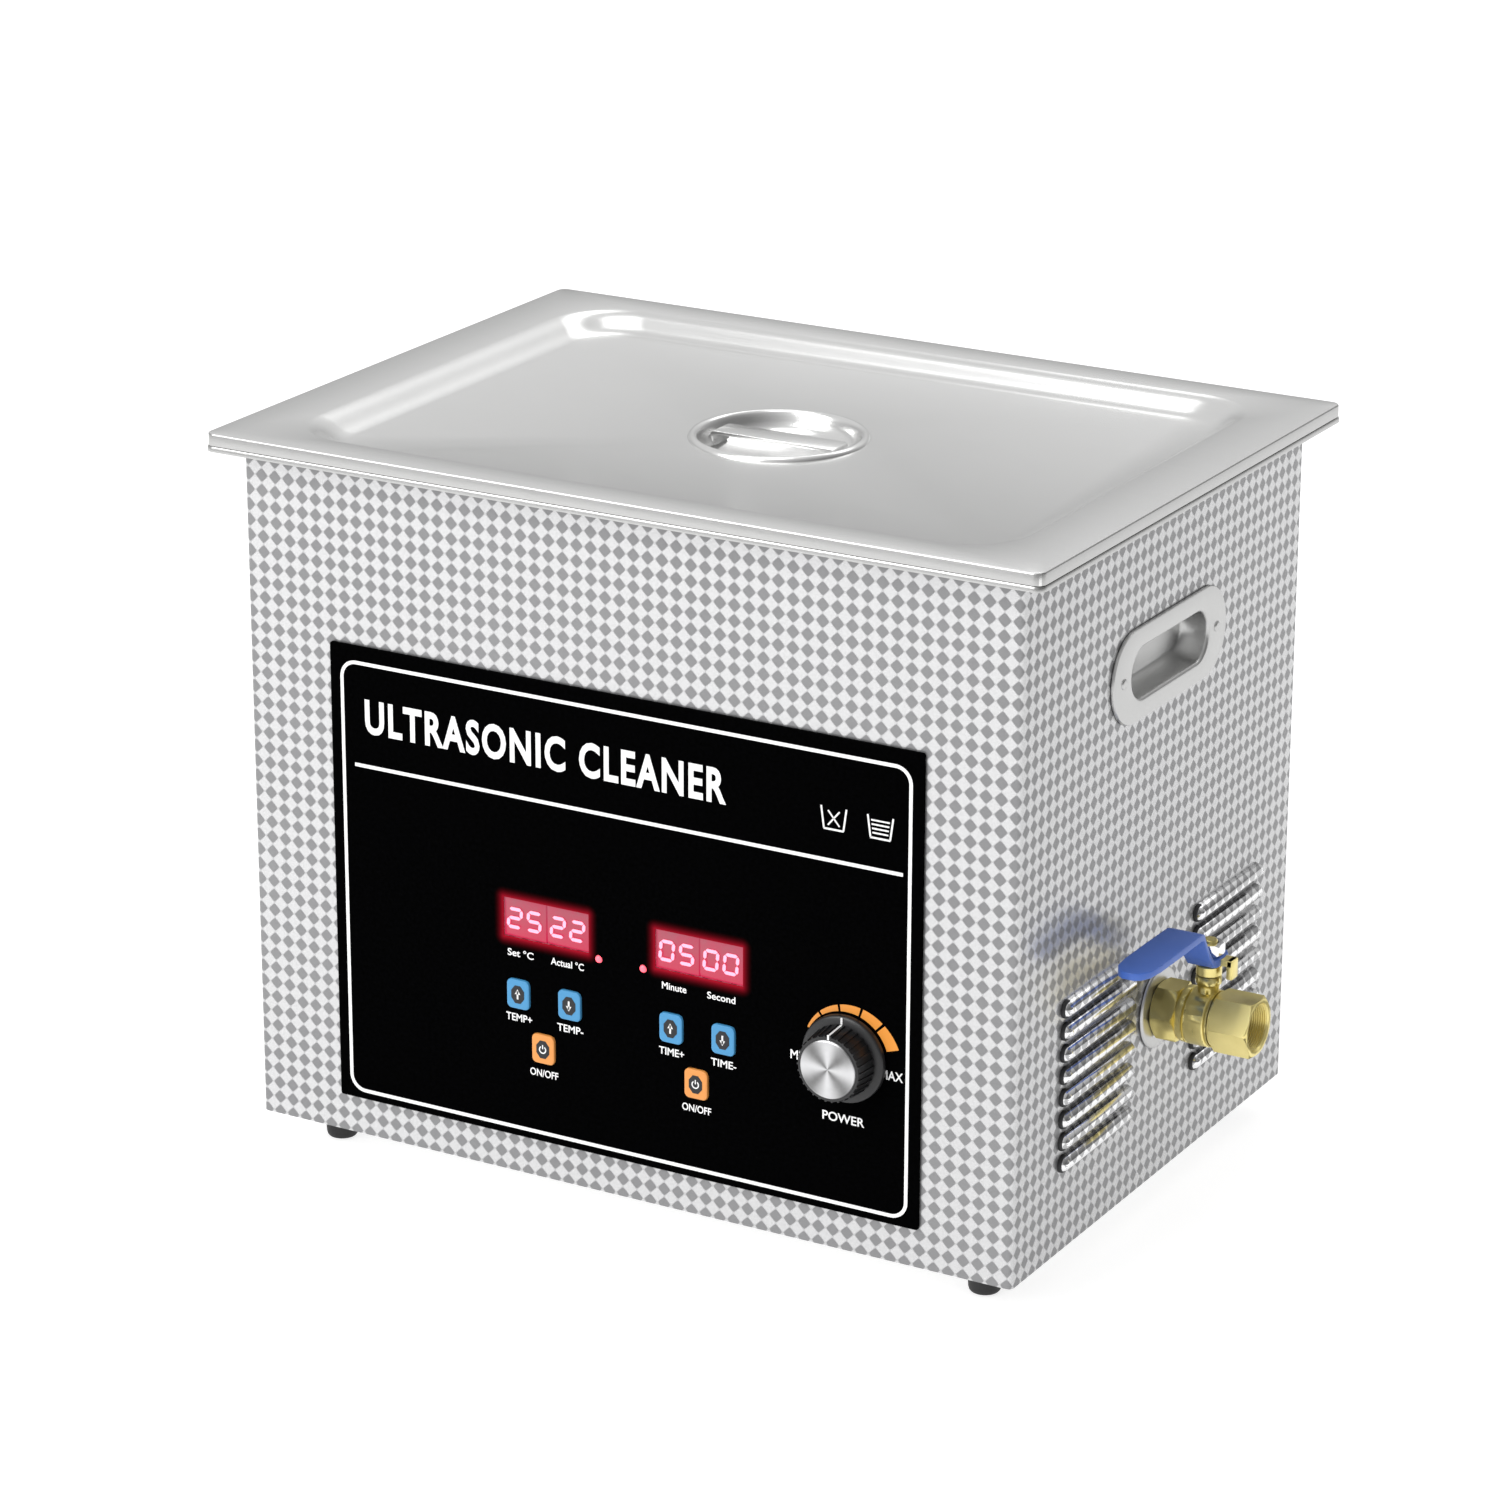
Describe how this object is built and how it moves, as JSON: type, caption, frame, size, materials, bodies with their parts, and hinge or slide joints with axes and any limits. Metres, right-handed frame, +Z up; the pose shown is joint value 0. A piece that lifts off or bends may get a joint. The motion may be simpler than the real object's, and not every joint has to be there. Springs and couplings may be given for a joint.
{
  "type": "ultrasonic cleaner",
  "caption": "Bench-top heated ultrasonic cleaner: patterned steel box with lidded tank, basket, black control panel, power knob, side handles, louvres and brass drain valve.",
  "frame": {"origin": "middle of the object's box at the height of the feet's undersides", "axes": "+X to the right seen from the front, the way the drain valve points; +Y to the back; +Z up"},
  "size_m": [0.3834, 0.2608, 0.291],
  "materials": {
    "patterned_steel": "fine diamond check rolled into satin stainless sheet",
    "brushed_steel": "satin stainless sheet",
    "lid_steel": "satin pressed stainless sheet",
    "basket_steel": "polished stainless wire",
    "rubber": "matt moulded",
    "aluminium": "machined",
    "heater_foil": "silicone heater pad",
    "black_plastic": "moulded",
    "black_panel": "glossy printed film",
    "red_display": "lit red display window",
    "circuit_board": "solder mask",
    "ferrite": "sintered core",
    "chrome": "plated",
    "brass": "machined and forged brass",
    "seat_plastic": "white seal plastic",
    "knob_plastic": "fluted moulding",
    "knob_aluminium": "spun brushed disc",
    "blue_vinyl": "dipped vinyl",
    "blue_key": "printed key cap",
    "orange_key": "printed key cap"
  },
  "bodies": {
    "housing": {"outer_casing": "patterned_steel", "base_plate": "brushed_steel", "foot_front_left": "rubber", "foot_front_right": "rubber", "foot_rear_left": "rubber", "foot_rear_right": "rubber", "tank": "brushed_steel", "transducer_1": "aluminium", "transducer_2": "aluminium", "transducer_3": "aluminium", "transducer_4": "aluminium", "heater_front": "heater_foil", "heater_rear": "heater_foil", "thermostat_sensor": "black_plastic", "control_fascia": "black_panel", "set_temperature_display": "red_display", "actual_temperature_display": "red_display", "minute_display": "red_display", "second_display": "red_display", "heat_lamp": "red_display", "timer_lamp": "red_display", "control_board": "circuit_board", "generator_board": "circuit_board", "heat_sink": "aluminium", "output_transformer": "ferrite", "potentiometer_body": "aluminium", "fan_frame": "black_plastic", "fan_guard": "chrome", "power_inlet": "black_plastic", "switch_housing": "black_plastic", "fuse_holder": "black_plastic", "handle_right": "brushed_steel", "handle_left": "brushed_steel", "drain_pipe": "brushed_steel", "drain_locknut": "brass", "drain_washer": "chrome", "valve_body": "brass", "valve_end_cap": "brass", "valve_seat_inner": "seat_plastic", "valve_seat_outer": "seat_plastic", "valve_gland_nut": "brass"},
    "basket": {"basket": "basket_steel", "basket_floor": "basket_steel"},
    "lid": {"lid": "lid_steel", "lid_handle": "lid_steel"},
    "knob": {"power_knob": "knob_plastic", "knob_cap": "knob_aluminium", "potentiometer_shaft": "aluminium"},
    "drain_lever": {"valve_lever": "blue_vinyl", "lever_nut": "chrome", "valve_stem": "brass", "valve_ball": "chrome"},
    "fan_rotor": {"fan_rotor": "black_plastic"},
    "rocker": {"rocker": "black_plastic"},
    "temp_up_key": {"temp_up_key": "blue_key"},
    "temp_down_key": {"temp_down_key": "blue_key"},
    "time_up_key": {"time_up_key": "blue_key"},
    "time_down_key": {"time_down_key": "blue_key"},
    "heat_power_key": {"heat_power_key": "orange_key"},
    "timer_power_key": {"timer_power_key": "orange_key"}
  },
  "joints": [
    {"name": "basket_lift", "type": "slide", "parent": "housing", "child": "basket", "axis": [0, 0, 1], "range_m": [0, 0.19]},
    {"name": "lid_lift", "type": "slide", "parent": "basket", "child": "lid", "axis": [0, 0, 1], "range_m": [0, 0.16]},
    {"name": "drain_lever_turn", "type": "hinge", "parent": "housing", "child": "drain_lever", "pos_m": [0.17065, 0.00295, 0.084], "axis": [0, 0, 1], "range_deg": [0, 90]},
    {"name": "power_knob_turn", "type": "hinge", "parent": "housing", "child": "knob", "pos_m": [0.08115, -0.11605, 0.092], "axis": [0, 1, 0], "range_deg": [-100, 100]},
    {"name": "fan_spin", "type": "hinge", "parent": "housing", "child": "fan_rotor", "pos_m": [-0.10535, 0.10295, 0.074], "axis": [0, 1, 0], "continuous": true},
    {"name": "rocker_tip", "type": "hinge", "parent": "housing", "child": "rocker", "pos_m": [0.08465, 0.12145, 0.1], "axis": [1, 0, 0], "range_deg": [0, 20]},
    {"name": "temp_up_key_press", "type": "slide", "parent": "housing", "child": "temp_up_key", "axis": [0, 1, 0], "range_m": [0, 0.0005], "stiffness_N_per_m": 800},
    {"name": "temp_down_key_press", "type": "slide", "parent": "housing", "child": "temp_down_key", "axis": [0, 1, 0], "range_m": [0, 0.0005], "stiffness_N_per_m": 800},
    {"name": "time_up_key_press", "type": "slide", "parent": "housing", "child": "time_up_key", "axis": [0, 1, 0], "range_m": [0, 0.0005], "stiffness_N_per_m": 800},
    {"name": "time_down_key_press", "type": "slide", "parent": "housing", "child": "time_down_key", "axis": [0, 1, 0], "range_m": [0, 0.0005], "stiffness_N_per_m": 800},
    {"name": "heat_power_key_press", "type": "slide", "parent": "housing", "child": "heat_power_key", "axis": [0, 1, 0], "range_m": [0, 0.0005], "stiffness_N_per_m": 800},
    {"name": "timer_power_key_press", "type": "slide", "parent": "housing", "child": "timer_power_key", "axis": [0, 1, 0], "range_m": [0, 0.0005], "stiffness_N_per_m": 800}
  ]
}
